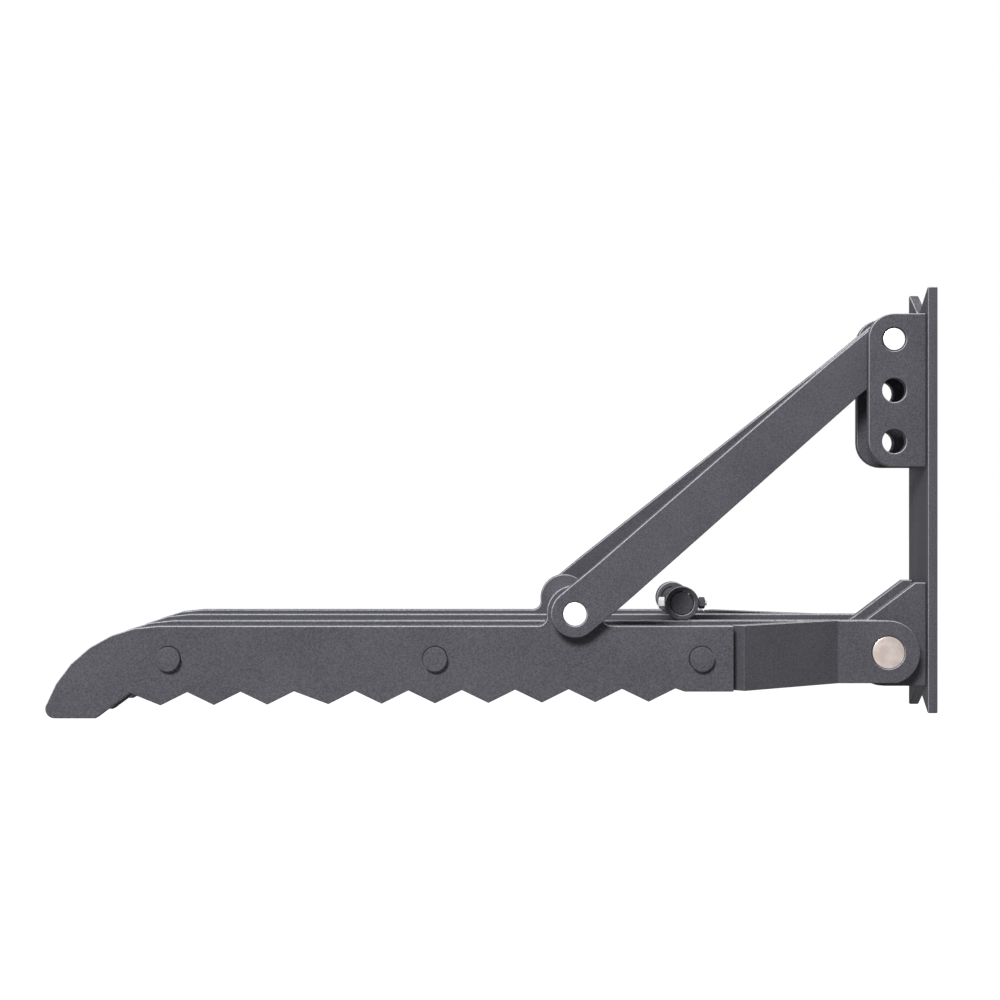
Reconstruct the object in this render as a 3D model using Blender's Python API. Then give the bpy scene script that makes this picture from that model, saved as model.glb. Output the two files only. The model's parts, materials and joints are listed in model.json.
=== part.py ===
"""Excavator thumb: a weld-on base plate with lugs, a toothed tine frame of four
plates that swings on a pivot pin, and two joggled link bars that hold it out.

Metres, +Z up. The origin is the centre of the base plate's weld face, which stands
upright and faces +X. The tip points to -X, and the near side is -Y.
"""

import math

import bmesh
import bpy
from mathutils import Vector

INCH = 0.0254

# Fits and edges
WELD_GAP = 0.0003
PIN_SLACK = 0.0003
EDGE = 0.0008
RIM_ANGLE = math.radians(60)
SHARP_ANGLE = math.radians(30)
ROUND_SEGMENTS = 32
BOLT_SEGMENTS = 24
BOLT_BORE_SEGMENTS = 16
ARC_STEP = math.radians(12)
CUT_MARGIN = 0.02

# Base plate
PLATE_THICK = 0.375 * INCH
PLATE_WIDTH = 4 * INCH
PLATE_LENGTH = 0.4218
NOTCH_DEPTH = 0.0245
HORN_FLAT = 0.003

# Lugs on the base plate
LUG_THICK = 0.5 * INCH
LUG_SPREAD = 0.084
UPPER_LUG_DEEP = 2.25 * INCH
HOLE_PITCH = 2 * INCH
HOLE_COUNT = 3
TOP_HOLE_FROM_END = 0.051
LUG_CORNER = 1 * INCH
LUG_HOLE_SLACK = 0.0009
PIVOT_FORWARD = 0.0517
PIVOT_FROM_END = 0.0613
PIVOT_LUG_RADIUS = 0.035
PIVOT_LUG_RISE = 0.0676
PIVOT_LUG_SHELF = 0.0105

# Pins and rods
PIVOT_PIN_RADIUS = 0.016
LINK_PIN_RADIUS = 0.4375 * INCH
SPACER_RADIUS = 0.024
ROD_RADIUS = 0.0115
ROD_PROUD = 0.0075
ROD_PITCH = 0.25
ROD_COUNT = 3
HEEL_ROD_FROM_PIVOT = 0.192

# Tine plates, measured from the pivot
TINE_THICK = 0.75 * INCH
TINE_SPREAD = 0.324
INNER_SPREAD = 0.137
TINE_TOP = 0.0314
TINE_HEEL = -0.0302
OUTER_END = -0.1618
NOSE_RADIUS = 0.1117
NOSE_FROM_PIVOT = 0.7019
TIP_LEVEL = -0.0553
TIP_FLAT = 0.038409
TIP_CORNER = 0.009

# Teeth
TOOTH_PITCH = 0.0501
TOOTH_DEPTH = 0.0125
REAR_TEETH = 7
FRONT_TEETH = 3
GROUP_GAP = 0.0572
FIRST_TOOTH = (-0.2416, -0.0397)
TOOTH_ROW_FALL = 0.0075
HEEL_FLAT_FROM_TOOTH = 0.0338
TIP_NOTCH_FROM_TOOTH = (0.029, 0.011735)

# Ear on each outer plate for the lower link pin
EAR_CENTRE = (-0.3115, 0.0437)
EAR_RADIUS = 0.0257
EAR_FILLET = 0.0085

# Gussets between outer and inner plates
GUSSET_THICK = 0.625 * INCH
GUSSET_ANGLE = math.radians(40.5)

# Stow collars, pin and its lock bolt
COLLAR_RADIUS = 0.0166
STOW_PIN_SLACK = 0.0006
BOLT_RADIUS = 0.003
BOLT_FLATS = 0.010
BOLT_HEAD = 0.0055
NUT_THICK = 0.006
THREAD_PROUD = 0.002

# Link bars
LINK_WIDTH = 1.75 * INCH
LINK_THICK = 0.75 * INCH
LINK_TINE_GAP = 0.0005
LINK_LUG_GAP = 0.0022
PIN_END_GAP = 0.0006
LOWER_BEND = 0.0405
UPPER_BEND = 0.0631

# Places that follow from the sizes above
PIVOT = Vector((-PIVOT_FORWARD, 0, PIVOT_FROM_END - PLATE_LENGTH / 2))
LUG_OUTER = LUG_SPREAD / 2
LUG_INNER = LUG_OUTER - LUG_THICK
LUG_BACK = -(PLATE_THICK + WELD_GAP)
HOLE_X = -(PLATE_THICK + UPPER_LUG_DEEP - LUG_CORNER)
TOP_HOLE_HEIGHT = PLATE_LENGTH / 2 - TOP_HOLE_FROM_END
HOLES = [Vector((HOLE_X, 0, TOP_HOLE_HEIGHT - i * HOLE_PITCH)) for i in range(HOLE_COUNT)]
EAR = PIVOT + Vector((EAR_CENTRE[0], 0, EAR_CENTRE[1]))
LINK_SPAN = HOLES[0] - EAR
LINK_LENGTH = LINK_SPAN.length
LINK_ANGLE = math.atan2(LINK_SPAN.z, LINK_SPAN.x)
OUTER_FACE = TINE_SPREAD / 2
INNER_FACE = INNER_SPREAD / 2
ROD_LEVEL = (TINE_TOP + TINE_HEEL) / 2
ROD_PLACES = [(-HEEL_ROD_FROM_PIVOT - i * ROD_PITCH, ROD_LEVEL) for i in range(ROD_COUNT)]
STOW_LEVEL = TINE_TOP + WELD_GAP + COLLAR_RADIUS
STOW_REACH = (HOLES[-1] - PIVOT).length
STOW_CENTRE = (-math.sqrt(STOW_REACH**2 - STOW_LEVEL**2), STOW_LEVEL)
LINK_LOWER_Y = OUTER_FACE + LINK_TINE_GAP + LINK_THICK / 2
LINK_UPPER_Y = LUG_INNER - LINK_LUG_GAP - LINK_THICK / 2
LINK_PIN_HALF = LINK_LOWER_Y + LINK_THICK / 2


def clear_scene():
    for obj in list(bpy.data.objects):
        bpy.data.objects.remove(obj, do_unlink=True)


def make_material(name, colour, roughness, metallic):
    material = bpy.data.materials.new(name)
    material.use_nodes = True
    shader = material.node_tree.nodes["Principled BSDF"]
    shader.inputs["Base Color"].default_value = (*colour, 1)
    shader.inputs["Roughness"].default_value = roughness
    shader.inputs["Metallic"].default_value = metallic
    return material


def powder_coat(name):
    return make_material(name + "_powder_coat", (0.105, 0.105, 0.115), 0.6, 0.0)


def pin_steel(name):
    return make_material(name + "_steel", (0.72, 0.7, 0.68), 0.3, 1.0)


def add_frame(name, place, parent=None):
    """An empty on a joint's axis, which carries what turns about it."""
    frame = bpy.data.objects.new(name, None)
    bpy.context.collection.objects.link(frame)
    frame.parent = parent
    frame.location = place - (parent.matrix_world.translation if parent else Vector())
    bpy.context.view_layer.update()
    return frame


def add_object(name, mesh_builder, material=None, parent=None):
    mesh = bpy.data.meshes.new(name)
    bmesh.ops.recalc_face_normals(mesh_builder, faces=mesh_builder.faces)
    mesh_builder.to_mesh(mesh)
    mesh_builder.free()
    obj = bpy.data.objects.new(name, mesh)
    bpy.context.collection.objects.link(obj)
    obj.parent = parent
    if material:
        mesh.materials.append(material)
    return obj


def extruded(points, direction):
    """A closed prism: the flat outline through points, pushed along direction."""
    builder = bmesh.new()
    face = builder.faces.new([builder.verts.new(point) for point in points])
    pushed = bmesh.ops.extrude_face_region(builder, geom=[face])
    moved = [item for item in pushed["geom"] if isinstance(item, bmesh.types.BMVert)]
    bmesh.ops.translate(builder, verts=moved, vec=direction)
    return builder


def side_prism(outline, y_low, y_high):
    """A prism of an outline in the XZ plane, between two Y positions."""
    points = [Vector((x, y_low, z)) for x, z in outline]
    return extruded(points, Vector((0, y_high - y_low, 0)))


def round_bar(start, end, radius, segments=ROUND_SEGMENTS):
    """A cylinder between two points."""
    axis = end - start
    turn = Vector((0, 0, 1)).rotation_difference(axis).to_matrix().to_4x4()
    turn.translation = (start + end) / 2
    builder = bmesh.new()
    bmesh.ops.create_cone(
        builder,
        cap_ends=True,
        segments=segments,
        radius1=radius,
        radius2=radius,
        depth=axis.length,
        matrix=turn,
    )
    return builder


def hide_cutter(cutter):
    cutter.hide_render = True
    cutter.display_type = "WIRE"


def cut_with(obj, builder, operation="DIFFERENCE"):
    """Adds a Boolean with a hidden cutter that moves with obj."""
    cutter = add_object(f"{obj.name}_cutter_{len(obj.modifiers)}", builder, parent=obj.parent)
    cutter.location = obj.location
    cutter.rotation_euler = obj.rotation_euler
    hide_cutter(cutter)
    modifier = obj.modifiers.new(operation.title(), "BOOLEAN")
    modifier.operation = operation
    modifier.object = cutter


def drill(obj, x, z, radius, half_length=TINE_SPREAD):
    """A hole along Y through obj at (x, z) of its own frame."""
    reach = Vector((0, half_length, 0))
    middle = Vector((x, 0, z))
    cut_with(obj, round_bar(middle - reach, middle + reach, radius))


def ease_edges(obj, width=EDGE):
    """A small chamfer on the rims, with smooth round faces and crisp flat ones."""
    bevel = obj.modifiers.new("Edge", "BEVEL")
    bevel.width = width
    bevel.segments = 1
    bevel.limit_method = "ANGLE"
    bevel.angle_limit = RIM_ANGLE
    obj.data.shade_smooth()
    obj.data.set_sharp_from_angle(angle=SHARP_ANGLE)


def add_pin(name, start, end, radius, material, parent=None, eased=True):
    obj = add_object(name, round_bar(start, end, radius), material, parent)
    if eased:
        ease_edges(obj)
    return obj


def arc(centre, radius, first, last):
    """Points on a circle from angle first to angle last, both in radians."""
    steps = max(2, math.ceil(abs(last - first) / ARC_STEP))
    angles = [first + (last - first) * i / steps for i in range(steps + 1)]
    return [(centre[0] + radius * math.cos(a), centre[1] + radius * math.sin(a)) for a in angles]


def base_plate():
    """The flat bar that is welded to the machine's stick, with a V notch in each end."""
    half_width, half_length = PLATE_WIDTH / 2, PLATE_LENGTH / 2
    horn, apex = half_width - HORN_FLAT, half_length - NOTCH_DEPTH
    upper = [(half_width, half_length), (horn, half_length), (0, apex), (-horn, half_length)]
    upper.append((-half_width, half_length))
    outline = upper + [(y, -z) for y, z in reversed(upper)]
    points = [Vector((-PLATE_THICK, y, z)) for y, z in outline]
    plate = add_object("base_plate", extruded(points, Vector((PLATE_THICK, 0, 0))))
    plate.data.materials.append(powder_coat("base_plate"))
    ease_edges(plate)


def upper_lug_outline():
    """A plate whose two front corners are round about its end holes."""
    top, bottom = HOLES[0], HOLES[-1]
    outline = [(LUG_BACK, top.z + LUG_CORNER)]
    outline += arc((top.x, top.z), LUG_CORNER, math.pi / 2, math.pi)
    outline += arc((bottom.x, bottom.z), LUG_CORNER, math.pi, 1.5 * math.pi)
    outline.append((LUG_BACK, bottom.z - LUG_CORNER))
    return outline


def pivot_lug_outline():
    """A shelf at the plate, then a slope that runs into the round about the pivot."""
    shelf = Vector((-PLATE_THICK - PIVOT_LUG_SHELF, PIVOT.z + PIVOT_LUG_RISE))
    centre = Vector((PIVOT.x, PIVOT.z))
    away = shelf - centre
    touch = math.atan2(away.y, away.x) + math.acos(PIVOT_LUG_RADIUS / away.length)
    outline = [(LUG_BACK, shelf.y), (shelf.x, shelf.y)]
    outline += arc(centre, PIVOT_LUG_RADIUS, touch, 1.5 * math.pi)
    outline.append((LUG_BACK, centre.y - PIVOT_LUG_RADIUS))
    return outline


def lugs():
    """Two pairs of ears on the base plate."""
    for side, sign in (("near", -1), ("far", 1)):
        upper = side_prism(upper_lug_outline(), sign * LUG_INNER, sign * LUG_OUTER)
        lug = add_object(f"upper_lug_{side}", upper, powder_coat(f"upper_lug_{side}"))
        for hole in HOLES:
            drill(lug, hole.x, hole.z, LINK_PIN_RADIUS + LUG_HOLE_SLACK)
        ease_edges(lug)
        lower = side_prism(pivot_lug_outline(), sign * LUG_INNER, sign * LUG_OUTER)
        lug = add_object(f"pivot_lug_{side}", lower, powder_coat(f"pivot_lug_{side}"))
        drill(lug, PIVOT.x, PIVOT.z, PIVOT_PIN_RADIUS + PIN_SLACK)
        ease_edges(lug)


def upper_link_pin_ends():
    """The stretches of the upper link pin that sit in the lugs. The link carries the rest."""
    for side, sign in (("near", -1), ("far", 1)):
        start = HOLES[0] + Vector((0, sign * LUG_INNER, 0))
        end = HOLES[0] + Vector((0, sign * LUG_OUTER, 0))
        name = f"upper_link_pin_{side}_end"
        add_pin(name, start, end, LINK_PIN_RADIUS, pin_steel(name), eased=False)


def tooth_row():
    """The zigzag from the heel to the tip: lows with a high before each, then a last notch."""
    places = [FIRST_TOOTH[0] - i * TOOTH_PITCH for i in range(REAR_TEETH)]
    front = places[-1] - GROUP_GAP
    places += [front - i * TOOTH_PITCH for i in range(FRONT_TEETH)]
    points = []
    for x in places:
        low = FIRST_TOOTH[1] + TOOTH_ROW_FALL * (x - FIRST_TOOTH[0])
        points += [(x + TOOTH_PITCH / 2, low + TOOTH_DEPTH), (x, low)]
    notch = (x - TIP_NOTCH_FROM_TOOTH[0], low + TIP_NOTCH_FROM_TOOTH[1])
    return points + [notch]


def tip_outline():
    """The hooked tip: the flat under it, its round corner and the long arc on top."""
    nose = Vector((-NOSE_FROM_PIVOT, TINE_TOP - NOSE_RADIUS))
    rise = TIP_LEVEL + TIP_CORNER - nose.y
    run = math.sqrt((NOSE_RADIUS - TIP_CORNER) ** 2 - rise**2)
    corner = nose + Vector((-run, rise))
    meet = math.pi - math.atan2(rise, run)
    outline = [(corner.x + TIP_FLAT, TIP_LEVEL)]
    outline += arc(corner, TIP_CORNER, 1.5 * math.pi, meet)
    outline += arc(nose, NOSE_RADIUS, meet, math.pi / 2)[1:]
    return outline


def ear_outline():
    """The hump about the lower link pin, with a hollow fillet on each side."""
    centre = Vector(EAR_CENTRE)
    level = TINE_TOP + EAR_FILLET
    reach = EAR_RADIUS + EAR_FILLET
    run = math.sqrt(reach**2 - (level - centre.y) ** 2)
    dip = math.asin((level - centre.y) / reach)
    left = (centre.x - run, level)
    right = (centre.x + run, level)
    outline = arc(left, EAR_FILLET, -math.pi / 2, -dip)
    outline += arc(centre, EAR_RADIUS, math.pi + -dip, dip)[1:-1]
    outline += arc(right, EAR_FILLET, math.pi + dip, 1.5 * math.pi)
    return outline


def outer_outline():
    heel = (FIRST_TOOTH[0] + HEEL_FLAT_FROM_TOOTH, TINE_HEEL)
    outline = [(OUTER_END, TINE_HEEL), heel] + tooth_row() + tip_outline() + ear_outline()
    return outline + [(OUTER_END, TINE_TOP)]


def inner_outline():
    """As the outer plate, but with a straight top and an eye round the pivot."""
    heel = (FIRST_TOOTH[0] + HEEL_FLAT_FROM_TOOTH, TINE_HEEL)
    start = math.asin(TINE_HEEL / TINE_TOP) + 2 * math.pi
    eye = arc((0, 0), TINE_TOP, start, 2.5 * math.pi)
    lead = (-TINE_TOP * math.cos(start), TINE_HEEL)
    return [lead, heel] + tooth_row() + tip_outline() + list(reversed(eye))


def tine_plates(frame):
    """Four toothed plates side by side, the inner two running on to the pivot."""
    for side, sign in (("near", -1), ("far", 1)):
        shape = side_prism(outer_outline(), sign * (OUTER_FACE - TINE_THICK), sign * OUTER_FACE)
        name = f"tine_outer_{side}"
        outer = add_object(name, shape, powder_coat(name), frame)
        drill(outer, *EAR_CENTRE, LINK_PIN_RADIUS + PIN_SLACK)
        shape = side_prism(inner_outline(), sign * (INNER_FACE - TINE_THICK), sign * INNER_FACE)
        name = f"tine_inner_{side}"
        inner = add_object(name, shape, powder_coat(name), frame)
        drill(inner, 0, 0, PIVOT_PIN_RADIUS + PIN_SLACK)
        for plate in (outer, inner):
            for x, z in ROD_PLACES:
                drill(plate, x, z, ROD_RADIUS + PIN_SLACK)
            ease_edges(plate)


def cross_rods(frame):
    """Round bars through all four plates, proud of the outer two."""
    reach = Vector((0, OUTER_FACE + ROD_PROUD, 0))
    for place, (x, z) in zip(("heel", "middle", "tip"), ROD_PLACES):
        name = f"cross_rod_{place}"
        middle = Vector((x, 0, z))
        add_pin(name, middle - reach, middle + reach, ROD_RADIUS, powder_coat(name), frame)


def gussets(frame):
    """Slanted plates that tie the end of each outer plate to the inner one."""
    along = Vector((math.cos(GUSSET_ANGLE), math.sin(GUSSET_ANGLE)))
    inner_corner = Vector((OUTER_END + WELD_GAP, TINE_THICK - OUTER_FACE - WELD_GAP))
    outer_corner = inner_corner + GUSSET_THICK * Vector((along.y, -along.x))
    stop = -(INNER_FACE + WELD_GAP)
    outer_meet = outer_corner + along * ((stop - outer_corner.y) / along.y)
    inner_meet = inner_corner + along * ((stop - inner_corner.y) / along.y)
    plan = (inner_corner, outer_corner, outer_meet, inner_meet)
    for side, sign in (("near", 1), ("far", -1)):
        points = [Vector((x, sign * y, TINE_HEEL)) for x, y in plan]
        name = f"gusset_{side}"
        shape = extruded(points, Vector((0, 0, TINE_TOP - TINE_HEEL)))
        ease_edges(add_object(name, shape, powder_coat(name), frame), EDGE / 2)


def hex_prism(start, end, flats):
    """A hexagonal bar between two points on an X line, with a flat facing -Y."""
    corner = flats / math.sqrt(3)
    angles = [math.radians(30 + 60 * i) for i in range(6)]
    turned = [(corner * math.cos(a), corner * math.sin(a)) for a in angles]
    points = [start + Vector((0, y, z)) for y, z in turned]
    return extruded(points, end - start)


def stow_fittings(frame):
    """Collars welded on the inner plates, the spare pin in them and its lock bolt."""
    centre = Vector((STOW_CENTRE[0], 0, STOW_CENTRE[1]))
    bolt_y = TINE_THICK / 2 - INNER_FACE
    bolt_centre = centre + Vector((0, bolt_y, 0))
    across = Vector((COLLAR_RADIUS + CUT_MARGIN, 0, 0))
    bolt_line = (bolt_centre - across, bolt_centre + across)
    bolt_bore = BOLT_RADIUS + PIN_SLACK
    for side, sign in (("near", -1), ("far", 1)):
        low = centre + Vector((0, sign * (INNER_FACE - TINE_THICK), 0))
        high = centre + Vector((0, sign * INNER_FACE, 0))
        name = f"stow_collar_{side}"
        collar = add_pin(name, low, high, COLLAR_RADIUS, powder_coat(name), frame, False)
        drill(collar, *STOW_CENTRE, LINK_PIN_RADIUS + STOW_PIN_SLACK)
        ease_edges(collar)
        if side == "near":
            cut_with(collar, round_bar(*bolt_line, bolt_bore, BOLT_BORE_SEGMENTS))
    reach = Vector((0, INNER_FACE, 0))
    name = "stow_pin"
    pin = add_pin(name, centre - reach, centre + reach, LINK_PIN_RADIUS, powder_coat(name), frame)
    cut_with(pin, round_bar(*bolt_line, bolt_bore, BOLT_BORE_SEGMENTS))
    lock_bolt(bolt_centre, frame)


def lock_bolt(centre, frame):
    """The hexagon bolt across the near collar, with its nut."""
    seat = Vector((COLLAR_RADIUS + WELD_GAP, 0, 0))
    head = Vector((BOLT_HEAD, 0, 0))
    nut_far = seat + Vector((NUT_THICK, 0, 0))
    thread_end = centre + nut_far + Vector((THREAD_PROUD, 0, 0))
    name = "stow_pin_bolt"
    bolt = add_object(
        name, hex_prism(centre - seat - head, centre - seat, BOLT_FLATS), pin_steel(name), frame
    )
    shank_start = centre - seat - head / 2
    cut_with(bolt, round_bar(shank_start, thread_end, BOLT_RADIUS, BOLT_SEGMENTS), "UNION")
    name = "stow_pin_nut"
    nut = add_object(
        name, hex_prism(centre + seat, centre + nut_far, BOLT_FLATS), powder_coat(name), frame
    )
    bore = BOLT_RADIUS + PIN_SLACK
    cut_with(nut, round_bar(centre, thread_end + head, bore, BOLT_SEGMENTS))


def pivot_pin(frame):
    """The main pivot pin, flush with the inner plates, and the rings that centre them."""
    reach = Vector((0, INNER_FACE, 0))
    name = "main_pivot_pin"
    add_pin(name, -reach, reach, PIVOT_PIN_RADIUS, pin_steel(name), frame)
    for side, sign in (("near", -1), ("far", 1)):
        low = Vector((0, sign * (LUG_OUTER + WELD_GAP), 0))
        high = Vector((0, sign * (INNER_FACE - TINE_THICK - WELD_GAP), 0))
        name = f"pivot_spacer_{side}"
        ring = add_pin(name, low, high, SPACER_RADIUS, powder_coat(name), frame, False)
        drill(ring, 0, 0, PIVOT_PIN_RADIUS + PIN_SLACK)


def joggle_profile(sign):
    """Outline in (along, across) of a bar that steps in towards the middle at a slant."""
    low_y, high_y = sign * LINK_LOWER_Y, sign * LINK_UPPER_Y
    half = LINK_THICK / 2
    overrun = LINK_WIDTH
    bends = [Vector((LOWER_BEND, low_y)), Vector((LINK_LENGTH - UPPER_BEND, high_y))]
    slant = math.atan2(high_y - low_y, bends[1].x - bends[0].x)
    shift = half * math.tan(slant / 2)
    upper = [Vector((-overrun, low_y + half))]
    upper += [Vector((bend.x - shift, bend.y + half)) for bend in bends]
    upper.append(Vector((LINK_LENGTH + overrun, high_y + half)))
    lower = [Vector((-overrun, low_y - half))]
    lower += [Vector((bend.x + shift, bend.y - half)) for bend in bends]
    lower.append(Vector((LINK_LENGTH + overrun, high_y - half)))
    return upper + list(reversed(lower))


def link_bars(frame):
    """Flat bars with round ends, outside the tines below and between the lugs above."""
    half = LINK_WIDTH / 2
    ends = arc((0, 0), half, math.pi / 2, 1.5 * math.pi)
    ends += arc((LINK_LENGTH, 0), half, -math.pi / 2, math.pi / 2)
    for side, sign in (("near", -1), ("far", 1)):
        points = [Vector((s, y, -half - CUT_MARGIN)) for s, y in joggle_profile(sign)]
        strip = extruded(points, Vector((0, 0, LINK_WIDTH + 2 * CUT_MARGIN)))
        name = f"link_bar_{side}"
        bar = add_object(name, strip, powder_coat(name), frame)
        bar.rotation_euler = (0, -LINK_ANGLE, 0)
        reach = LINK_PIN_HALF + CUT_MARGIN
        cut_with(bar, side_prism(ends, -reach, reach), "INTERSECT")
        for along in (0, LINK_LENGTH):
            drill(bar, along, 0, LINK_PIN_RADIUS + PIN_SLACK)
        ease_edges(bar)


def link_pins(pin_frame, link_frame):
    """The pin through tines and link, and the stretch of the upper pin between the lugs."""
    reach = Vector((0, LINK_PIN_HALF, 0))
    name = "lower_link_pin"
    add_pin(name, -reach, reach, LINK_PIN_RADIUS, pin_steel(name), pin_frame)
    reach = Vector((0, LUG_INNER - PIN_END_GAP, 0))
    name = "upper_link_pin_middle"
    start, end = LINK_SPAN - reach, LINK_SPAN + reach
    add_pin(name, start, end, LINK_PIN_RADIUS, pin_steel(name), link_frame, eased=False)


def main():
    clear_scene()
    base_plate()
    lugs()
    upper_link_pin_ends()
    tines = add_frame("tine_frame", PIVOT)
    tine_plates(tines)
    cross_rods(tines)
    gussets(tines)
    stow_fittings(tines)
    pivot_pin(tines)
    pin_frame = add_frame("link_pin_frame", EAR, tines)
    link_frame = add_frame("link_frame", EAR, pin_frame)
    link_bars(link_frame)
    link_pins(pin_frame, link_frame)


main()
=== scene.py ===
"""Looks for a weld-on excavator thumb: rounded plates, turned pins, the lock bolt and its finishes.

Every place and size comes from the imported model, so a piece here sits where its solid does.
Metres, +Z up. The tips point to -X and the near side is -Y.
"""

import json
import logging
import math
from dataclasses import dataclass, field
from enum import Enum

import bpy
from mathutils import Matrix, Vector

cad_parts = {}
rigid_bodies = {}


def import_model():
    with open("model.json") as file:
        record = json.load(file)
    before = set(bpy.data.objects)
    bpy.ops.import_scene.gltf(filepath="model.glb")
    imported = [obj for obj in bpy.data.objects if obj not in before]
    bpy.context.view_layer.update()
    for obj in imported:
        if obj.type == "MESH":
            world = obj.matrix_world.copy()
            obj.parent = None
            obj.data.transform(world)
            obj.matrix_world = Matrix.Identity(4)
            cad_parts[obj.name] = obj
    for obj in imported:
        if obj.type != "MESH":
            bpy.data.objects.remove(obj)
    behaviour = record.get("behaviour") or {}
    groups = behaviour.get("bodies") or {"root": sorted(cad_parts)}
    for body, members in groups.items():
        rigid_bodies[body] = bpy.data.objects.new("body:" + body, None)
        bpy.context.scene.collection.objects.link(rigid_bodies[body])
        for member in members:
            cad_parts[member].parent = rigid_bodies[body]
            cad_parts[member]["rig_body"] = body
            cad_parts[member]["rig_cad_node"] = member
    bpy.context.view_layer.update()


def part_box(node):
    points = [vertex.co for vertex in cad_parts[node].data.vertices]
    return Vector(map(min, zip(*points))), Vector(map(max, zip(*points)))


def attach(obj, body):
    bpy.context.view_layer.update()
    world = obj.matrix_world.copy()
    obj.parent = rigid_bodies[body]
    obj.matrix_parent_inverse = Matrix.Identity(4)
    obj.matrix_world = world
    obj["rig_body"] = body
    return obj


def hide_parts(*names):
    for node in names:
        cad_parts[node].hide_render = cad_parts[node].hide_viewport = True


LOG = logging.getLogger("excavator_thumb")
MM = 0.001
# Face attribute that holds the painted highlight share of the rims that face the light.
HIGHLIT_RIM = "rim_painted_highlight"
WHITE = "#FFFFFF"
ROD_SIDES = 32
Colour = tuple[float, float, float, float]
Span = tuple[float, float]
Inputs = dict[str | int, object]
# Nearly all the values of a noise pattern lie in this span.
NOISE_SPAN: Span = (0.3, 0.7)
# A wave pattern repeats after this many units at a scale of 1.
WAVE_PERIOD = math.pi / 10


class Body(Enum):
    """The bodies that pieces ride on."""

    ROOT = "root"
    TINES = "tines"
    LINK_PIN = "link_pin"
    LINK = "link"


class Slot(Enum):
    """The record's material slots."""

    POWDER_COAT = "powder_coat"
    LINK_PIN_STEEL = "link_pin_steel"
    PIVOT_PIN_STEEL = "pivot_pin_steel"
    BOLT_STEEL = "bolt_steel"


class Rims(Enum):
    """Which rims of a turned bar are rounded, by the side of Y that they face."""

    BOTH = (-1, 1)
    NEAR = (-1,)
    FAR = (1,)
    NONE = ()


class End(Enum):
    """The ends of a bolt or nut, by the side of X that they face."""

    LOW = -1
    HIGH = 1


class Operation(Enum):
    """What a Boolean keeps of a piece and its tool."""

    INTERSECT = "INTERSECT"
    UNION = "UNION"
    DIFFERENCE = "DIFFERENCE"


def linear_colour(hex_colour: str) -> Colour:
    """Turns an sRGB hex colour to a linear one, by the curve of the sRGB standard.

    Args:
        hex_colour: six hex digits after a hash sign.

    Returns:
        Red, green, blue and an alpha of 1.
    """
    channels = [int(hex_colour[i : i + 2], 16) / 255 for i in (1, 3, 5)]
    linear = [c / 12.92 if c <= 0.04045 else ((c + 0.055) / 1.055) ** 2.4 for c in channels]
    return (*linear, 1.0)


def per_metre(size_mm: float) -> float:
    """Gives the scale at which a pattern repeats about once every size_mm."""
    return 1 / (size_mm * MM)


def add_node(
    tree: bpy.types.NodeTree,
    kind: str,
    inputs: Inputs | None = None,
    stops: tuple[tuple[float, str], ...] = (),
    **settings: object,
) -> bpy.types.Node:
    """Adds a node with its settings and links.

    Args:
        tree: the node tree that takes it.
        kind: the node's type.
        inputs: input name or number to an output socket, which is linked, or to a value.
        stops: a colour ramp's places and hex colours.
        **settings: the node's own properties.

    Returns:
        The new node.
    """
    node = tree.nodes.new(kind)
    for name, value in settings.items():
        setattr(node, name, value)
    for i, (place, tone) in enumerate(stops):
        node.color_ramp.elements[i].position = place
        node.color_ramp.elements[i].color = linear_colour(tone)
    for name, source in (inputs or {}).items():
        if isinstance(source, bpy.types.NodeSocket):
            tree.links.new(source, node.inputs[name])
        else:
            node.inputs[name].default_value = source
    return node


def new_material(name: str) -> tuple[bpy.types.Material, bpy.types.NodeSocket]:
    """Starts a material that holds only object coordinates.

    Args:
        name: the material's name.

    Returns:
        The material and its object coordinates.
    """
    material = bpy.data.materials.new(name)
    material.use_nodes = True
    material.node_tree.nodes.clear()
    return material, add_node(material.node_tree, "ShaderNodeTexCoord").outputs["Object"]


def seen_directly(tree: bpy.types.NodeTree) -> bpy.types.NodeSocket:
    """Finds the rays that show the surroundings: from the camera, off metal and through glass.

    Args:
        tree: the node tree that takes it.

    Returns:
        1 for such a ray and 0 for one that only carries light.
    """
    path = add_node(tree, "ShaderNodeLightPath")
    seen = path.outputs["Is Camera Ray"]
    for name in ("Is Glossy Ray", "Is Transmission Ray"):
        either = {0: seen, 1: path.outputs[name]}
        seen = add_node(tree, "ShaderNodeMath", either, operation="MAXIMUM").outputs[0]
    return seen


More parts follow.
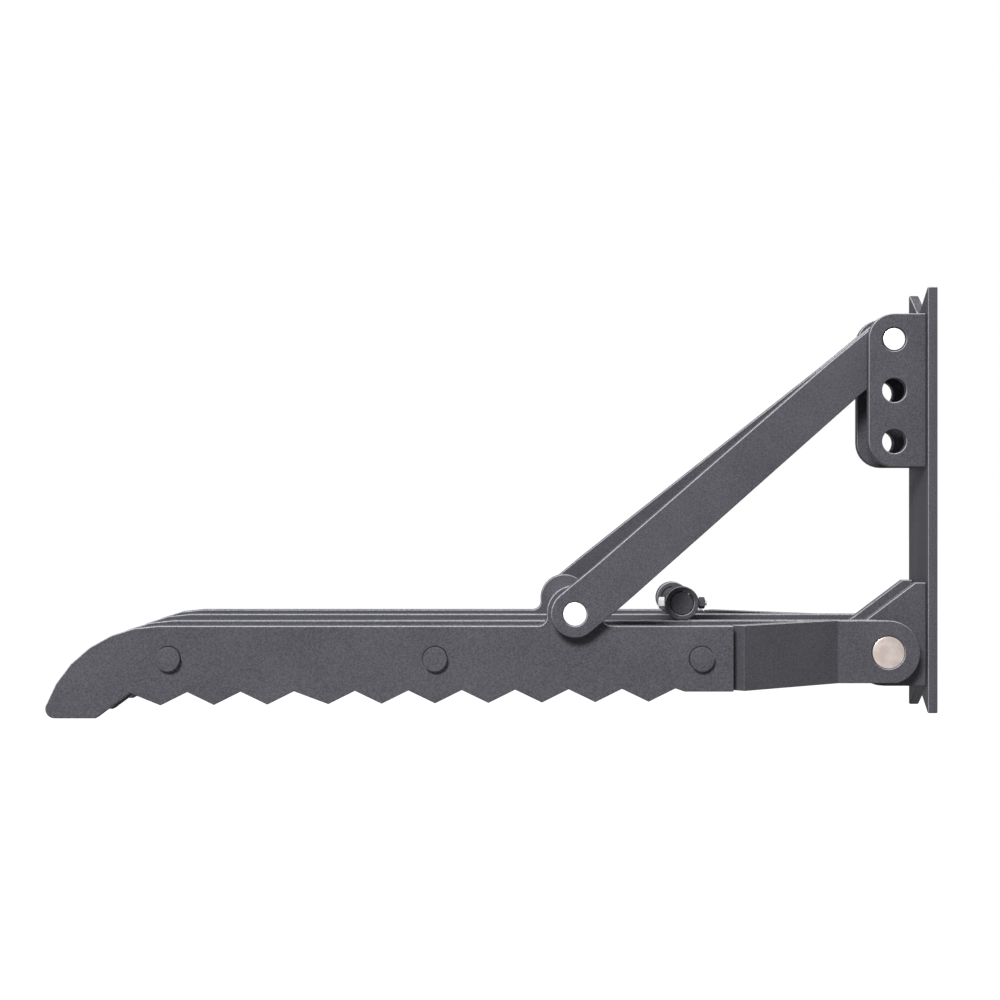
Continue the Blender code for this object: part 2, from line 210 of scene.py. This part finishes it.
@dataclass(frozen=True)
class PowderCoat:
    """Polyester powder, sprayed on blasted steel plate and baked.

    It gives a matt charcoal with a fine mottle, a faint orange peel and broad, soft highlights.
    The cut rims that face up and towards the tips are painted paler, a painted highlight of the
    light that catches them, and are smoother.
    """

    name: str = "polyester_powder_coat_sprayed"
    dark: str = "#4A494F"
    light: str = "#68676D"
    tone_span: Span = (0.42, 0.84)
    # The real grain is near 0.5 mm. It is drawn coarser, so that it shows from two metres away.
    mottle_mm: float = 1.3
    cloud_mm: float = 60.0
    cloud_share: float = 0.25
    peel_mm: float = 1.3
    peel_height_mm: float = 0.09
    roughness: Span = (0.56, 0.7)
    specular: float = 0.05
    # Painted highlight: the paler tone and lower roughness of the rims that face the light, and how
    # strongly it shows.
    highlight_tone: str = "#C6CAD0"
    highlight_roughness: float = 0.3
    highlight_gain: float = 1.6

    def build(self) -> bpy.types.Material:
        """Makes the material.

        Returns:
            The finished material.
        """
        material, place = new_material(self.name)
        tree = material.node_tree
        mottle_inputs = {"Vector": place, "Scale": per_metre(self.mottle_mm), "Detail": 3.0}
        mottle = add_node(tree, "ShaderNodeTexNoise", mottle_inputs).outputs[0]
        cloud_inputs = {"Vector": place, "Scale": per_metre(self.cloud_mm), "Detail": 2.0}
        cloud = add_node(tree, "ShaderNodeTexNoise", cloud_inputs).outputs[0]
        peel_inputs = {"Vector": place, "Scale": per_metre(self.peel_mm), "Detail": 1.0}
        peel = add_node(tree, "ShaderNodeTexNoise", peel_inputs).outputs[0]
        both = {0: cloud, 1: self.cloud_share, 2: mottle}
        blend = add_node(tree, "ShaderNodeMath", both, operation="MULTIPLY_ADD").outputs[0]
        stops = tuple(zip(self.tone_span, (self.dark, self.light)))
        sprayed = add_node(tree, "ShaderNodeValToRGB", {"Fac": blend}, stops).outputs[0]
        # Painted highlight: the rims that face the light are mixed towards the pale tone, broken up
        # by the mottle.
        rim = add_node(tree, "ShaderNodeAttribute", attribute_name=HIGHLIT_RIM).outputs["Fac"]
        patchy = {0: rim, 1: mottle}
        painted_sheen = add_node(tree, "ShaderNodeMath", patchy, operation="MULTIPLY").outputs[0]
        gained = {0: painted_sheen, 1: self.highlight_gain}
        limited = {"operation": "MULTIPLY", "use_clamp": True}
        share = add_node(tree, "ShaderNodeMath", gained, **limited).outputs[0]
        tones = {0: share, 6: sprayed, 7: linear_colour(self.highlight_tone)}
        tone = add_node(tree, "ShaderNodeMix", tones, data_type="RGBA").outputs[2]
        rough_inputs = dict(enumerate((mottle, *NOISE_SPAN, *self.roughness)))
        rough = add_node(tree, "ShaderNodeMapRange", rough_inputs).outputs[0]
        smoothing = {0: share, 2: rough, 3: self.highlight_roughness}
        roughness = add_node(tree, "ShaderNodeMix", smoothing, data_type="FLOAT").outputs[0]
        bump_inputs = {"Height": peel, "Distance": self.peel_height_mm * MM}
        shader_inputs = {
            "Base Color": tone,
            "Roughness": roughness,
            "Normal": add_node(tree, "ShaderNodeBump", bump_inputs).outputs[0],
            "Specular IOR Level": self.specular,
        }
        shader = add_node(tree, "ShaderNodeBsdfPrincipled", shader_inputs)
        add_node(tree, "ShaderNodeOutputMaterial", {"Surface": shader.outputs[0]})
        return material


@dataclass(frozen=True)
class TurnedSteel:
    """Bright cold-drawn steel, faced and turned on a lathe.

    It gives a clean metal face with faint rings round the axis and a slight film of oil.
    """

    name: str
    dark: str
    light: str
    # Real turning marks lie near 0.2 mm apart. These are coarser, so that a close view shows them.
    ring_mm: float = 0.9
    ring_height_mm: float = 0.004
    ring_waver: float = 0.4
    film_mm: float = 9.0
    film_span: Span = (0.35, 0.65)
    roughness: Span = (0.24, 0.36)

    def build(self, centre: Vector) -> bpy.types.Material:
        """Makes the material for a bar along Y.

        Args:
            centre: a point on the bar's axis, which the rings go round.

        Returns:
            The finished material.
        """
        material, place = new_material(self.name)
        tree = material.node_tree
        centring = {"Vector": place, "Location": -centre}
        about = add_node(tree, "ShaderNodeMapping", centring).outputs[0]
        scale = WAVE_PERIOD * per_metre(self.ring_mm)
        ring_inputs = {"Vector": about, "Scale": scale, "Distortion": self.ring_waver}
        ring_settings = {"wave_type": "RINGS", "rings_direction": "Y"}
        rings = add_node(tree, "ShaderNodeTexWave", ring_inputs, **ring_settings).outputs["Fac"]
        film_inputs = {"Vector": place, "Scale": per_metre(self.film_mm), "Detail": 3.0}
        film = add_node(tree, "ShaderNodeTexNoise", film_inputs).outputs[0]
        stops = tuple(zip(self.film_span, (self.dark, self.light)))
        tone = add_node(tree, "ShaderNodeValToRGB", {"Fac": film}, stops).outputs[0]
        rough_inputs = {0: rings, 3: self.roughness[0], 4: self.roughness[1]}
        roughness = add_node(tree, "ShaderNodeMapRange", rough_inputs).outputs[0]
        bump_inputs = {"Height": rings, "Distance": self.ring_height_mm * MM}
        shader_inputs = {
            "Base Color": tone,
            "Roughness": roughness,
            "Normal": add_node(tree, "ShaderNodeBump", bump_inputs).outputs[0],
            "Metallic": 1.0,
        }
        shader = add_node(tree, "ShaderNodeBsdfPrincipled", shader_inputs)
        add_node(tree, "ShaderNodeOutputMaterial", {"Surface": shader.outputs[0]})
        return material


LINK_STEEL = TurnedSteel("cold_drawn_steel_turned", "#EDEDED", "#FDFDFD")
# The pivot pin has a thicker film of oil, which gives it a warmer and darker face.
PIVOT_STEEL = TurnedSteel("cold_drawn_steel_oiled", "#AFA19C", "#BDB3AD")


@dataclass(frozen=True)
class ZincPlate:
    """Bright zinc, electroplated on a forged bolt.

    It gives a clear, slightly milky metal with a fine spangle.
    """

    name: str = "zinc_electroplated_bolt"
    dark: str = "#D3D5D6"
    light: str = "#F1F2F2"
    spangle_mm: float = 0.8
    spangle_span: Span = (0.35, 0.65)
    roughness: Span = (0.22, 0.34)

    def build(self) -> bpy.types.Material:
        """Makes the material.

        Returns:
            The finished material.
        """
        material, place = new_material(self.name)
        tree = material.node_tree
        spangle_inputs = {"Vector": place, "Scale": per_metre(self.spangle_mm), "Detail": 2.0}
        spangle = add_node(tree, "ShaderNodeTexNoise", spangle_inputs).outputs[0]
        stops = tuple(zip(self.spangle_span, (self.dark, self.light)))
        tone = add_node(tree, "ShaderNodeValToRGB", {"Fac": spangle}, stops).outputs[0]
        rough_inputs = dict(enumerate((spangle, *NOISE_SPAN, *self.roughness)))
        roughness = add_node(tree, "ShaderNodeMapRange", rough_inputs).outputs[0]
        shader_inputs = {"Base Color": tone, "Roughness": roughness, "Metallic": 1.0}
        shader = add_node(tree, "ShaderNodeBsdfPrincipled", shader_inputs)
        add_node(tree, "ShaderNodeOutputMaterial", {"Surface": shader.outputs[0]})
        return material


@dataclass(frozen=True)
class SeamlessPaper:
    """Studio paper with a light of its own, so that it looks white and still takes a shadow."""

    name: str = "seamless_paper_rolled"
    dark: str = "#8F8F8F"
    light: str = "#989898"
    fibre_mm: float = 2.0
    own_light: Span = (0.78, 1.0)
    fade_m: Span = (0.55, 1.3)

    def build(self, centre: Vector) -> bpy.types.Material:
        """Makes the material.

        Args:
            centre: the place under the part, where the shadow falls.

        Returns:
            The finished material.
        """
        material, place = new_material(self.name)
        tree = material.node_tree
        centring = {"Vector": place, "Location": -centre}
        about = add_node(tree, "ShaderNodeMapping", centring).outputs[0]
        fibre_inputs = {"Vector": place, "Scale": per_metre(self.fibre_mm), "Detail": 2.0}
        fibres = add_node(tree, "ShaderNodeTexNoise", fibre_inputs).outputs[0]
        stops = tuple(zip(NOISE_SPAN, (self.dark, self.light)))
        tone = add_node(tree, "ShaderNodeValToRGB", {"Fac": fibres}, stops).outputs[0]
        paper = add_node(tree, "ShaderNodeBsdfDiffuse", {"Color": tone}).outputs[0]
        reach = add_node(tree, "ShaderNodeVectorMath", {0: about}, operation="LENGTH").outputs[1]
        fade_inputs = dict(enumerate((reach, *self.fade_m, *self.own_light)))
        fade = add_node(tree, "ShaderNodeMapRange", fade_inputs).outputs[0]
        share = {0: seen_directly(tree), 1: fade}
        strength = add_node(tree, "ShaderNodeMath", share, operation="MULTIPLY").outputs[0]
        glow = add_node(tree, "ShaderNodeEmission", {"Strength": strength}).outputs[0]
        surface = add_node(tree, "ShaderNodeAddShader", {0: paper, 1: glow}).outputs[0]
        add_node(tree, "ShaderNodeOutputMaterial", {"Surface": surface})
        return material


def pair(part: str) -> tuple[str, str]:
    """Gives the names of the near and the far piece of a pair."""
    return f"{part}_near", f"{part}_far"


def middle_of(node: str) -> Vector:
    """Gives the middle of a solid's box."""
    low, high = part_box(node)
    return (low + high) / 2


def low_face_of(node: str) -> Vector:
    """Gives the middle of the low X face of a solid's box."""
    low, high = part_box(node)
    return Vector((low.x, (low.y + high.y) / 2, (low.z + high.z) / 2))


def deselect_all() -> None:
    """Leaves nothing selected, because an operator acts on all that is."""
    bpy.ops.object.select_all(action="DESELECT")


def apply_modifiers(piece: bpy.types.Object) -> None:
    """Applies a piece's modifiers in order."""
    for modifier in list(piece.modifiers):
        bpy.ops.object.modifier_apply(modifier=modifier.name)


def settle(name: str) -> bpy.types.Object:
    """Names the new piece and moves its place into its mesh.

    Args:
        name: the piece's name.

    Returns:
        The piece, at the origin.
    """
    piece = bpy.context.object
    piece.name = piece.data.name = name
    bpy.ops.object.transform_apply(location=True, rotation=True, scale=True)
    return piece


def ringed_rod(
    name: str, start: Vector, end: Vector, radius: float, ring: float, depth: float
) -> bpy.types.Object:
    """Models a round rod whose radius goes in and out along it, as a thread or a weld bead does.

    Args:
        name: the piece's name.
        start: one end of its axis.
        end: the other end, which is a root.
        radius: its outer radius.
        ring: the step from a crest to the next root.
        depth: how deep its roots are.

    Returns:
        The rod.
    """
    line = end - start
    along = line.normalized()
    deselect_all()
    bpy.ops.mesh.primitive_cylinder_add(
        vertices=ROD_SIDES,
        radius=radius,
        depth=line.length,
        location=(start + end) / 2,
        rotation=along.to_track_quat("Z", "Y").to_euler(),
    )
    rod = bpy.context.object
    bpy.ops.object.mode_set(mode="EDIT")
    for i in range(1, int(line.length / ring)):
        bpy.ops.mesh.select_all(action="SELECT")
        bpy.ops.mesh.bisect(plane_co=end - along * i * ring, plane_no=along)
    bpy.ops.mesh.select_mode(type="VERT")
    bpy.ops.mesh.select_all(action="DESELECT")
    bpy.ops.object.mode_set(mode="OBJECT")
    for vertex in rod.data.vertices:
        back = line.length / 2 - vertex.co.z
        # Counted from the end, the even rings are roots. The start keeps its full radius.
        vertex.select = round(back / ring) % 2 == 0 and line.length - back > ring / 2
    bpy.ops.object.mode_set(mode="EDIT")
    shrink = 1 - depth / radius
    scale = (shrink, shrink, 1)
    bpy.ops.transform.resize(value=scale, orient_type="LOCAL", center_override=start)
    bpy.ops.object.mode_set(mode="OBJECT")
    return settle(name)


def fit(
    piece: bpy.types.Object, body: Body, slot: Slot, material: bpy.types.Material, *nodes: str
) -> None:
    """Dresses a finished piece, puts it in place of its solids and reports it.

    Args:
        piece: the piece.
        body: what it moves with.
        slot: the record's material slot; it is not used.
        material: its finish.
        *nodes: the solids it stands for, if it has any.
    """
    piece.data.materials.clear()
    piece.data.materials.append(material)
    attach(piece, body.value)
    if nodes:
        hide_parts(*nodes)
    LOG.info("%s: %d faces on %s", piece.name, len(piece.data.polygons), body.value)


@dataclass
class PlateWork:
    """Cut plate whose sawn rims catch the light as small rounds instead of flat strips."""

    merge_mm: float = 0.001
    flat_angle: float = math.radians(0.3)
    crease_angle: float = math.radians(16)
    strip_angle: float = math.radians(52)
    strip_mm: float = 1.5
    # The rims that face up and towards the tips, where the overhead light falls, get the painted
    # highlight.
    lit_side: Vector = field(default_factory=lambda: Vector((-0.5, 0, 0.87)))
    lit_side_gain: float = 1.6

    def rounded(self, node: str) -> bpy.types.Object:
        """Makes a smooth-rimmed copy of a plate.

        Args:
            node: the plate's solid.

        Returns:
            The copy, with a mesh of its own.
        """
        deselect_all()
        solid = bpy.data.objects[node]
        solid.select_set(True)
        bpy.context.view_layer.objects.active = solid
        bpy.ops.object.duplicate()
        plate = bpy.context.object
        plate.parent = None
        plate.name = plate.data.name = f"{node}_rounded"
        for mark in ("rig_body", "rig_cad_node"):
            del plate[mark]
        bpy.ops.mesh.customdata_custom_splitnormals_clear()
        bpy.ops.object.mode_set(mode="EDIT")
        bpy.ops.mesh.select_all(action="SELECT")
        bpy.ops.mesh.remove_doubles(threshold=self.merge_mm * MM)
        bpy.ops.mesh.dissolve_limited(angle_limit=self.flat_angle)
        bpy.ops.object.mode_set(mode="OBJECT")
        bpy.ops.object.shade_smooth()
        self.mark_creases(plate.data)
        weighted = plate.modifiers.new("even_normals", "WEIGHTED_NORMAL")
        weighted.keep_sharp = True
        apply_modifiers(plate)
        return plate

    def mark_creases(self, mesh: bpy.types.Mesh) -> None:
        """Keeps bends and corners crisp, leaves rims and arcs smooth, and marks the rims with a
        painted highlight share according to how they face the light.

        Args:
            mesh: the merged mesh.
        """
        sides: dict[tuple[int, int], list[bpy.types.MeshPolygon]] = {}
        for face in mesh.polygons:
            for key in face.edge_keys:
                sides.setdefault(key, []).append(face)
        strips = {face.index for face in mesh.polygons if self.is_strip(mesh, face)}
        # Each rim strip's painted highlight share grows as the strip faces the light.
        rim = mesh.attributes.new(HIGHLIT_RIM, "FLOAT", "FACE")
        for index in strips:
            facing = mesh.polygons[index].normal.dot(self.lit_side)
            rim.data[index].value = min(1.0, max(0.0, facing * self.lit_side_gain))
        for edge in mesh.edges:
            faces = sides.get(edge.key, [])
            if len(faces) != 2:
                continue
            touches_strip = any(face.index in strips for face in faces)
            limit = self.strip_angle if touches_strip else self.crease_angle
            edge.use_edge_sharp = faces[0].normal.angle(faces[1].normal, 0.0) > limit

    def is_strip(self, mesh: bpy.types.Mesh, face: bpy.types.MeshPolygon) -> bool:
        """Tells whether a face is a narrow strip along a rim.

        Args:
            mesh: the mesh that holds it.
            face: the face.

        Returns:
            True for a strip.
        """
        points = [mesh.vertices[i].co for i in face.vertices]
        longest = max((a - b).length for a, b in zip(points, points[1:] + points[:1]))
        return face.area < longest * self.strip_mm * MM


@dataclass
class TurnedBar:
    """A bar turned from round stock, lying along Y, with a small radius on its rims."""

    segments: int = 96
    rim_mm: float = 0.9
    rim_steps: int = 4
    # At 0.5 the rim is a quarter of a circle.
    rim_profile: float = 0.5
    smooth_angle: float = math.radians(35)

    def build(self, name: str, node: str, rims: Rims) -> bpy.types.Object:
        """Models the bar in place of its solid.

        Args:
            name: the new piece's name.
            node: the bar's solid.
            rims: which rims are rounded.

        Returns:
            The bar.
        """
        low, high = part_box(node)
        middle = middle_of(node)
        deselect_all()
        bpy.ops.mesh.primitive_cylinder_add(
            vertices=self.segments,
            radius=(high.z - low.z) / 2,
            depth=high.y - low.y,
            location=middle,
            rotation=(math.pi / 2, 0, 0),
        )
        bar = settle(name)
        if rims.value:
            self.round_rims(bar, middle.y, rims)
        bpy.ops.object.shade_smooth_by_angle(angle=self.smooth_angle)
        return bar

    def round_rims(self, bar: bpy.types.Object, middle: float, rims: Rims) -> None:
        """Bevels the rims that face the chosen sides.

        Args:
            bar: the bar, which is the active object.
            middle: the bar's middle along Y.
            rims: which rims are rounded.
        """
        bpy.ops.object.mode_set(mode="EDIT")
        bpy.ops.mesh.select_all(action="DESELECT")
        bpy.ops.mesh.select_mode(type="FACE")
        bpy.ops.object.mode_set(mode="OBJECT")
        for face in bar.data.polygons:
            side = math.copysign(1, face.center.y - middle)
            face.select = len(face.vertices) == self.segments and side in rims.value
        bpy.ops.object.mode_set(mode="EDIT")
        radius = self.rim_mm * MM
        bpy.ops.mesh.bevel(offset=radius, segments=self.rim_steps, profile=self.rim_profile)
        bpy.ops.object.mode_set(mode="OBJECT")


@dataclass
class LockBolt:
    """The hexagon bolt and nut that lock the stowed pin, lying along X."""

    flats_turn: float = math.radians(30)
    crown_share: float = 0.93
    crown_angle: float = math.radians(60)
    crown_steps: int = 80
    pitch_mm: float = 1.0
    thread_depth_mm: float = 0.55
    # The shank stands out of the nut by two thirds of its radius.
    radius_per_tip: float = 1.5
    bore_steps: int = 40
    bore_slack_mm: float = 0.3
    smooth_angle: float = math.radians(25)

    def hexagon(
        self, name: str, start: Vector, length: float, flats: float, crowned: tuple[End, ...]
    ) -> bpy.types.Object:
        """Models a hexagon bar, flat side up, with turned corners on chosen ends.

        Args:
            name: the piece's name.
            start: the middle of its low X face.
            length: how long it is.
            flats: the width across its flats.
            crowned: the ends whose corners are turned off.

        Returns:
            The hexagon.
        """
        middle = start + Vector((length / 2, 0, 0))
        deselect_all()
        bpy.ops.mesh.primitive_cylinder_add(
            vertices=6,
            radius=flats / math.sqrt(3),
            depth=length,
            location=middle,
            rotation=(0, math.pi / 2, 0),
        )
        bpy.ops.object.mode_set(mode="EDIT")
        bpy.ops.transform.rotate(value=self.flats_turn, orient_axis="X", center_override=middle)
        bpy.ops.object.mode_set(mode="OBJECT")
        piece = settle(name)
        for end in crowned:
            self.crown(piece, middle, length, flats, end)
        bpy.ops.object.shade_smooth_by_angle(angle=self.smooth_angle)
        return piece

    def crown(
        self, piece: bpy.types.Object, middle: Vector, length: float, flats: float, end: End
    ) -> None:
        """Turns the corners off one end of a hexagon, as a lathe does.

        Args:
            piece: the hexagon.
            middle: its middle.
            length: its length.
            flats: its width across flats.
            end: the end whose corners go.
        """
        # The cone is narrow at that end and runs on past the other one.
        reach = 2 * length
        narrow = flats / 2 * self.crown_share
        wide = narrow + reach * math.tan(self.crown_angle)
        radii = (narrow, wide) if end is End.LOW else (wide, narrow)
        deselect_all()
        bpy.ops.mesh.primitive_cone_add(
            vertices=self.crown_steps,
            radius1=radii[0],
            radius2=radii[1],
            depth=reach,
            location=middle - Vector((end.value * length / 2, 0, 0)),
            rotation=(0, math.pi / 2, 0),
        )
        self.combine(piece, settle(f"{piece.name}_cone"), Operation.INTERSECT)

    def combine(
        self, piece: bpy.types.Object, tool: bpy.types.Object, operation: Operation
    ) -> None:
        """Applies a Boolean and removes its tool.

        Args:
            piece: what is kept.
            tool: what it is combined with.
            operation: what is kept of the two.
        """
        deselect_all()
        bpy.context.view_layer.objects.active = piece
        piece.select_set(True)
        boolean = piece.modifiers.new(operation.name.lower(), "BOOLEAN")
        boolean.operation = operation.value
        boolean.object = tool
        apply_modifiers(piece)
        bpy.data.objects.remove(tool)


@dataclass
class SubAssembly:
    """What every sub-assembly is made with: cut plate, turned bars and the coat on them."""

    plates: PlateWork
    bar: TurnedBar
    coat: bpy.types.Material

    def dress_plate(self, node: str, body: Body) -> None:
        """Puts a coated plate with smooth rims in place of its solid."""
        fit(self.plates.rounded(node), body, Slot.POWDER_COAT, self.coat, node)

    def dress_bar(
        self, node: str, body: Body, slot: Slot, finish: bpy.types.Material, rims: Rims = Rims.BOTH
    ) -> None:
        """Puts a turned bar in place of its solid."""
        fit(self.bar.build(f"{node}_turned", node, rims), body, slot, finish, node)


@dataclass
class BasePlateAndLugs(SubAssembly):
    """The plate that is welded to the machine, its lugs and the ends of the upper link pin."""

    steel: TurnedSteel

    def build(self) -> None:
        """Makes and dresses all its pieces."""
        for node in ("base_plate", *pair("upper_lug"), *pair("pivot_lug")):
            self.dress_plate(node, Body.ROOT)
        near, far = "upper_link_pin_near_end", "upper_link_pin_far_end"
        finish = self.steel.build(middle_of(near))
        for node, rims in ((near, Rims.NEAR), (far, Rims.FAR)):
            self.dress_bar(node, Body.ROOT, Slot.LINK_PIN_STEEL, finish, rims)


@dataclass
class TineFrame(SubAssembly):
    """Four toothed plates with their gussets, weld beads, cross rods, pivot pin and spacers."""

    steel: TurnedSteel
    bead_mm: float = 2.2
    bead_inset_mm: float = 1.5
    bead_smooth_angle: float = math.radians(60)
    ripple_mm: float = 0.9
    ripple_depth_mm: float = 0.25

    def build(self) -> None:
        """Makes and dresses all its pieces."""
        for part in ("tine_outer", "tine_inner", "gusset", "pivot_spacer"):
            for node in pair(part):
                self.dress_plate(node, Body.TINES)
        for place in ("heel", "middle", "tip"):
            self.dress_bar(f"cross_rod_{place}", Body.TINES, Slot.POWDER_COAT, self.coat)
        for name, plate, gusset in zip(pair("weld_bead"), pair("tine_outer"), pair("gusset")):
            self.build_bead(name, plate, gusset)
        pin = "main_pivot_pin"
        finish = self.steel.build(middle_of(pin))
        self.dress_bar(pin, Body.TINES, Slot.PIVOT_PIN_STEEL, finish)

    def build_bead(self, name: str, plate: str, gusset: str) -> None:
        """Lays the weld bead in the corner where a gusset meets its outer plate.

        Args:
            name: the bead's name.
            plate: the outer plate's solid.
            gusset: the gusset's solid.
        """
        plate_low, plate_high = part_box(plate)
        low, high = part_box(gusset)
        inner_face = min(plate_low.y, plate_high.y, key=abs)
        inset = self.bead_inset_mm * MM
        start = Vector((plate_high.x, inner_face, low.z + inset))
        end = Vector((plate_high.x, inner_face, high.z - inset))
        ring, depth = self.ripple_mm * MM, self.ripple_depth_mm * MM
        bead = ringed_rod(name, start, end, self.bead_mm * MM, ring, depth)
        bpy.ops.object.shade_smooth_by_angle(angle=self.bead_smooth_angle)
        fit(bead, Body.TINES, Slot.POWDER_COAT, self.coat)


@dataclass
class StowFittings(SubAssembly):
    """The collars on the inner tines, the pin stowed in them, and its lock bolt and nut."""

    zinc: bpy.types.Material
    bolt: LockBolt = field(default_factory=LockBolt)
    head_mm: float = 5.5
    bolt_node: str = "stow_pin_bolt"
    nut_node: str = "stow_pin_nut"

    def build(self) -> None:
        """Makes and dresses all its pieces."""
        for node in pair("stow_collar"):
            self.dress_plate(node, Body.TINES)
        self.dress_bar("stow_pin", Body.TINES, Slot.POWDER_COAT, self.coat)
        self.build_bolt()
        self.build_nut()

    def shank_radius(self) -> float:
        """Works out the bolt's radius from how far it stands out of the nut."""
        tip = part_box(self.bolt_node)[1].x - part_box(self.nut_node)[1].x
        return tip * self.bolt.radius_per_tip

    def build_bolt(self) -> None:
        """Models the bolt: a turned hexagon head and a threaded shank."""
        low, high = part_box(self.bolt_node)
        start = low_face_of(self.bolt_node)
        length, flats = self.head_mm * MM, high.y - low.y
        head = self.bolt.hexagon("bolt_with_thread", start, length, flats, (End.LOW,))
        neck = start + Vector((length / 2, 0, 0))
        tip = start + Vector((high.x - low.x, 0, 0))
        ring, depth = self.bolt.pitch_mm * MM / 2, self.bolt.thread_depth_mm * MM
        rod = ringed_rod("thread", neck, tip, self.shank_radius(), ring, depth)
        self.bolt.combine(head, rod, Operation.UNION)
        bpy.ops.object.shade_smooth_by_angle(angle=self.bolt.smooth_angle)
        fit(head, Body.TINES, Slot.BOLT_STEEL, self.zinc, self.bolt_node)

    def build_nut(self) -> None:
        """Models the nut, turned on both faces and bored right through."""
        low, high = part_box(self.nut_node)
        start = low_face_of(self.nut_node)
        length, flats = high.x - low.x, high.y - low.y
        nut = self.bolt.hexagon("nut_turned", start, length, flats, (End.LOW, End.HIGH))
        drill_length = 3 * length
        deselect_all()
        bpy.ops.mesh.primitive_cylinder_add(
            vertices=self.bolt.bore_steps,
            radius=self.shank_radius() + self.bolt.bore_slack_mm * MM,
            depth=drill_length,
            location=middle_of(self.nut_node),
            rotation=(0, math.pi / 2, 0),
        )
        self.bolt.combine(nut, settle("nut_bore"), Operation.DIFFERENCE)
        bpy.ops.object.shade_smooth_by_angle(angle=self.bolt.smooth_angle)
        fit(nut, Body.TINES, Slot.POWDER_COAT, self.coat, self.nut_node)


@dataclass
class LinkPair(SubAssembly):
    """The two joggled bars, the pin through the tines and the middle of the upper pin."""

    steel: TurnedSteel

    def build(self) -> None:
        """Makes and dresses all its pieces."""
        for node in pair("link_bar"):
            self.dress_plate(node, Body.LINK)
        for node, body, rims in (
            ("lower_link_pin", Body.LINK_PIN, Rims.BOTH),
            ("upper_link_pin_middle", Body.LINK, Rims.NONE),
        ):
            finish = self.steel.build(middle_of(node))
            self.dress_bar(node, body, Slot.LINK_PIN_STEEL, finish, rims)


@dataclass
class Studio:
    """A level camera, soft boxes and white paper under the part."""

    camera_place: Vector = field(default_factory=lambda: Vector((-0.4328, -2.2033, 0.0)))
    lens_mm: float = 78.37
    floor_level: float = -0.6
    floor_size: float = 60.0
    # How much the white surroundings light the part, where 1 is as bright as they look.
    fill: float = 0.14
    key_offset: Vector = field(default_factory=lambda: Vector((-1.3, -5.7, 2.6)))
    key_sides: Span = (1.5, 1.5)
    key_power: float = 370.0
    strip_offset: Vector = field(default_factory=lambda: Vector((0.0, -0.15, 1.9)))
    strip_sides: Span = (1.6, 0.3)
    strip_power: float = 16.0
    back_offset: Vector = field(default_factory=lambda: Vector((0.9, 3.6, 1.5)))
    back_sides: Span = (1.2, 1.2)
    back_power: float = 60.0

    def build(self) -> None:
        """Sets the camera, the lights, the world and the floor."""
        scene = bpy.context.scene
        scene.view_settings.view_transform = "Standard"
        self.build_camera(scene)
        self.softbox("key_softbox", self.key_offset, self.key_sides, self.key_power)
        self.softbox("overhead_strip", self.strip_offset, self.strip_sides, self.strip_power)
        self.softbox("back_softbox", self.back_offset, self.back_sides, self.back_power)
        self.build_world(scene)
        self.build_floor()

    def build_camera(self, scene: bpy.types.Scene) -> None:
        """Places the camera level, looking along +Y.

        Args:
            scene: the scene that it looks at.
        """
        deselect_all()
        bpy.ops.object.camera_add(location=self.camera_place, rotation=(math.pi / 2, 0, 0))
        camera = bpy.context.object
        camera.data.lens = self.lens_mm
        scene.camera = camera

    def softbox(self, name: str, offset: Vector, sides: Span, power: float) -> None:
        """Adds a soft box that faces the middle of the part.

        Args:
            name: its name.
            offset: where it stands from the middle of the part.
            sides: its width and height, in metres.
            power: its power, in watts.
        """
        middle = Vector((self.camera_place.x, 0, 0))
        turn = (-offset).to_track_quat("-Z", "Y").to_euler()
        bpy.ops.object.light_add(type="AREA", location=middle + offset, rotation=turn)
        lamp = bpy.context.object
        lamp.name = name
        lamp.data.shape = "RECTANGLE"
        lamp.data.size, lamp.data.size_y = sides
        lamp.data.energy = power

    def build_world(self, scene: bpy.types.Scene) -> None:
        """Makes surroundings that look white and light the part more softly.

        Args:
            scene: the scene that they surround.
        """
        world = bpy.data.worlds.new("white_studio")
        scene.world = world
        world.use_nodes = True
        tree = world.node_tree
        tree.nodes.clear()
        levels = {0: seen_directly(tree), 3: self.fill, 4: 1.0}
        strength = add_node(tree, "ShaderNodeMapRange", levels).outputs[0]
        inputs = {"Color": linear_colour(WHITE), "Strength": strength}
        light = add_node(tree, "ShaderNodeBackground", inputs).outputs[0]
        add_node(tree, "ShaderNodeOutputWorld", {"Surface": light})

    def build_floor(self) -> None:
        """Lays the paper below the part."""
        deselect_all()
        place = Vector((self.camera_place.x, 0, self.floor_level))
        bpy.ops.mesh.primitive_plane_add(size=self.floor_size, location=place)
        floor = settle("studio_floor")
        floor.data.materials.append(SeamlessPaper().build(place))


def main() -> None:
    """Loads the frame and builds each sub-assembly."""
    logging.basicConfig(level=logging.INFO, format="%(message)s")
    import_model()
    plates, bar = PlateWork(), TurnedBar()
    coat, zinc = PowderCoat().build(), ZincPlate().build()
    BasePlateAndLugs(plates, bar, coat, LINK_STEEL).build()
    TineFrame(plates, bar, coat, PIVOT_STEEL).build()
    StowFittings(plates, bar, coat, zinc).build()
    LinkPair(plates, bar, coat, LINK_STEEL).build()
    Studio().build()


if __name__ == "__main__":
    main()
